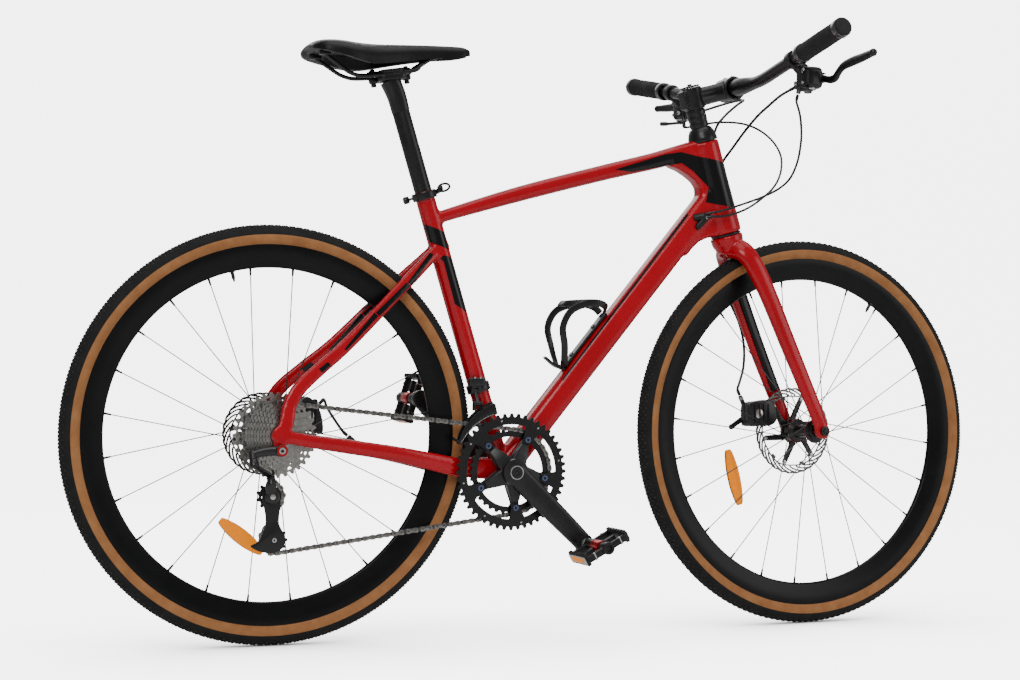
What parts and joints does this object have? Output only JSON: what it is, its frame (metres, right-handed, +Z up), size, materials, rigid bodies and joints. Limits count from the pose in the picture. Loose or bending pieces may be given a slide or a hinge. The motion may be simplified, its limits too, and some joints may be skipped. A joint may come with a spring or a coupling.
{
  "type": "bicycle",
  "caption": "Gravel bicycle with a flat bar, red frame and fork, black deep rims, tan-walled tyres, disc brakes and a wide-range derailleur drive",
  "frame": {"origin": "on the ground under the middle of the bicycle's box, 0.8 mm and 8.9 mm from the point midway between the wheels", "axes": "+X forward, +Y to the rider's left, +Z up"},
  "size_m": [1.7059, 0.7298, 1.0498],
  "materials": {
    "red_paint": "gloss red paint over aluminium tubes",
    "black_paint": "black anodised or painted aluminium, satin",
    "black_parts": "black cast and pressed alloy, semi-gloss",
    "pulley_plastic": "moulded black plastic, matte",
    "tyre_rubber": "black knobbed tread with tan sidewalls",
    "grip_rubber": "matte black ribbed rubber",
    "cable_housing": "smooth black plastic cable housing",
    "saddle_cover": "black synthetic leather, slightly glossy",
    "bright_steel": "bright steel, lightly worn"
  },
  "bodies": {
    "frame": {"frame": "red_paint", "headset_lower_bearing": "bright_steel", "headset_cover": "black_paint", "seat_clamp": "black_paint", "bottle_cage": "black_paint", "bottom_bracket": "black_paint", "rear_axle": "black_paint", "rear_brake_caliper": "black_parts", "front_derailleur_body": "black_parts", "rear_derailleur_knuckle": "black_parts", "chain": "bright_steel", "rear_brake_cable_tail": "cable_housing", "rear_brake_cable": "cable_housing", "right_shift_cable": "cable_housing", "left_shift_cable": "cable_housing"},
    "seat": {"seatpost": "black_paint", "saddle_clamp": "bright_steel", "saddle_rails": "black_paint", "saddle": "saddle_cover"},
    "clamp_lever": {"seat_clamp_lever": "black_paint"},
    "rear_wheel": {"rear_tyre": "tyre_rubber", "rear_rim": "black_paint", "rear_hub": "black_paint", "rear_rotor": "bright_steel"},
    "cassette": {"cassette": "bright_steel"},
    "crank": {"crank_right": "black_paint", "crank_left": "black_paint", "chainring_outer": "black_paint", "chainring_inner": "black_paint"},
    "pedal_right": {"pedal_right": "pulley_plastic"},
    "pedal_left": {"pedal_left": "pulley_plastic"},
    "rear_derailleur_link": {"rear_derailleur_link": "black_parts"},
    "rear_derailleur_body": {"rear_derailleur_body": "black_parts"},
    "rear_derailleur_cage": {"rear_derailleur_cage": "black_parts"},
    "guide_pulley": {"guide_pulley": "pulley_plastic"},
    "tension_pulley": {"tension_pulley": "pulley_plastic"},
    "front_derailleur_link": {"front_derailleur_link": "black_parts"},
    "front_derailleur_cage": {"front_derailleur_cage": "black_parts"},
    "rear_brake_arm": {"rear_brake_arm": "black_parts"},
    "steering": {"fork": "red_paint", "steerer_spacers": "black_paint", "stem": "black_paint", "stem_faceplate": "black_paint", "handlebar": "black_paint", "grip_right": "grip_rubber", "grip_left": "grip_rubber", "lever_body_right": "black_parts", "lever_body_left": "black_parts", "front_brake_caliper": "black_parts", "front_axle": "black_paint", "front_brake_cable": "cable_housing"},
    "front_wheel": {"front_tyre": "tyre_rubber", "front_rim": "black_paint", "front_hub": "black_paint", "front_rotor": "bright_steel"},
    "brake_lever_right": {"brake_lever_right": "black_parts"},
    "brake_lever_left": {"brake_lever_left": "black_parts"},
    "shift_lever_right": {"shift_lever_right": "black_parts"},
    "shift_lever_left": {"shift_lever_left": "black_parts"},
    "front_brake_arm": {"front_brake_arm": "black_parts"}
  },
  "joints": [
    {"name": "steering", "type": "hinge", "parent": "frame", "child": "steering", "pos_m": [0.33809, -0.0089, 0.7043], "axis": [-0.2689, 0, 0.9632], "range_deg": [-60, 50], "deforming": ["rear_brake_cable", "right_shift_cable", "left_shift_cable"]},
    {"name": "front_wheel_spin", "type": "hinge", "parent": "steering", "child": "front_wheel", "pos_m": [0.50425, -0.00312, 0.34993], "axis": [-0.0856, 0.996, -0.0239], "continuous": true},
    {"name": "rear_wheel_spin", "type": "hinge", "parent": "frame", "child": "rear_wheel", "pos_m": [-0.5029, -0.0089, 0.35], "axis": [0, 1, 0], "continuous": true},
    {"name": "crank_spin", "type": "hinge", "parent": "frame", "child": "crank", "pos_m": [-0.09244, -0.0089, 0.2855], "axis": [0, 1, 0], "continuous": true, "deforming": ["chain"]},
    {"name": "cassette_spin", "type": "hinge", "parent": "frame", "child": "cassette", "pos_m": [-0.5029, -0.0089, 0.35], "axis": [0, 1, 0], "continuous": true, "deforming": ["chain"]},
    {"name": "pedal_right_spin", "type": "hinge", "parent": "crank", "child": "pedal_right", "pos_m": [0.02954, -0.1559, 0.16352], "axis": [0, 1, 0], "continuous": true},
    {"name": "pedal_left_spin", "type": "hinge", "parent": "crank", "child": "pedal_left", "pos_m": [-0.21441, 0.1381, 0.40748], "axis": [0, 1, 0], "continuous": true},
    {"name": "rear_shift", "type": "hinge", "parent": "frame", "child": "rear_derailleur_link", "pos_m": [-0.5512, -0.0939, 0.306], "axis": [0, 0.5, 0.866], "range_deg": [-41.6, 16.1], "deforming": ["chain"]},
    {"name": "rear_body_swing", "type": "hinge", "parent": "rear_derailleur_link", "child": "rear_derailleur_body", "pos_m": [-0.51486, -0.05931, 0.28603], "axis": [0, 0.5, 0.866], "range_deg": [-16.1, 41.6], "deforming": ["chain"]},
    {"name": "chain_tension", "type": "hinge", "parent": "rear_derailleur_body", "child": "rear_derailleur_cage", "pos_m": [-0.5122, -0.0453, 0.25], "axis": [0, 1, 0], "range_deg": [-35, 50], "stiffness_Nm_per_rad": 1, "deforming": ["chain"]},
    {"name": "guide_pulley_spin", "type": "hinge", "parent": "rear_derailleur_cage", "child": "guide_pulley", "pos_m": [-0.5122, -0.0453, 0.25], "axis": [0, 1, 0], "continuous": true, "deforming": ["chain"]},
    {"name": "tension_pulley_spin", "type": "hinge", "parent": "rear_derailleur_cage", "child": "tension_pulley", "pos_m": [-0.5052, -0.0453, 0.178], "axis": [0, 1, 0], "continuous": true, "deforming": ["chain"]},
    {"name": "front_shift", "type": "hinge", "parent": "frame", "child": "front_derailleur_link", "pos_m": [-0.1512, -0.0359, 0.423], "axis": [-1, 0, 0], "range_deg": [0, 19], "deforming": ["chain"]},
    {"name": "front_cage_swing", "type": "hinge", "parent": "front_derailleur_link", "child": "front_derailleur_cage", "pos_m": [-0.1512, -0.0494, 0.402], "axis": [-1, 0, 0], "range_deg": [-19, 0], "deforming": ["chain"]},
    {"name": "seatpost_slide", "type": "slide", "parent": "frame", "child": "seat", "axis": [-0.2924, 0, 0.9563], "range_m": [-0.1, 0.06]},
    {"name": "seat_clamp_swing", "type": "hinge", "parent": "frame", "child": "clamp_lever", "pos_m": [-0.21316, 0.0161, 0.76417], "axis": [-0.2924, 0, 0.9563], "range_deg": [0, 150]},
    {"name": "brake_lever_right_pull", "type": "hinge", "parent": "steering", "child": "brake_lever_right", "pos_m": [0.41888, -0.21346, 0.96905], "axis": [-0.4273, -0.148, -0.8919], "range_deg": [0, 16], "stiffness_Nm_per_rad": 3, "springref_deg": -5.73},
    {"name": "shift_lever_right_push", "type": "hinge", "parent": "steering", "child": "shift_lever_right", "pos_m": [0.39084, -0.21448, 0.94354], "axis": [-0.001, 0.0239, 0.9997], "range_deg": [0, 25], "stiffness_Nm_per_rad": 0.3, "springref_deg": -5.73},
    {"name": "brake_lever_left_pull", "type": "hinge", "parent": "steering", "child": "brake_lever_left", "pos_m": [0.38172, 0.21882, 0.95867], "axis": [0.4426, -0.0303, 0.8962], "range_deg": [0, 16], "stiffness_Nm_per_rad": 3, "springref_deg": -5.73},
    {"name": "shift_lever_left_push", "type": "hinge", "parent": "steering", "child": "shift_lever_left", "pos_m": [0.35402, 0.21382, 0.93326], "axis": [0.001, -0.0239, -0.9997], "range_deg": [0, 25], "stiffness_Nm_per_rad": 0.3, "springref_deg": -5.73},
    {"name": "front_brake_pull", "type": "hinge", "parent": "steering", "child": "front_brake_arm", "pos_m": [0.41959, 0.05158, 0.38055], "axis": [-0.0856, 0.996, -0.0239], "range_deg": [0, 18]},
    {"name": "rear_brake_pull", "type": "hinge", "parent": "frame", "child": "rear_brake_arm", "pos_m": [-0.4252, 0.0598, 0.38], "axis": [0, -1, 0], "range_deg": [0, 18]}
  ],
  "couplings": [
    {"joint": "cassette_spin", "follows": "crank_spin", "ratio": 1.3333},
    {"joint": "guide_pulley_spin", "follows": "crank_spin", "ratio": -3.2727},
    {"joint": "tension_pulley_spin", "follows": "crank_spin", "ratio": 3.2727},
    {"joint": "rear_body_swing", "follows": "rear_shift", "ratio": -1},
    {"joint": "front_cage_swing", "follows": "front_shift", "ratio": -1},
    {"joint": "front_brake_pull", "follows": "brake_lever_left_pull", "ratio": 1.1},
    {"joint": "rear_brake_pull", "follows": "brake_lever_right_pull", "ratio": 1.1}
  ]
}
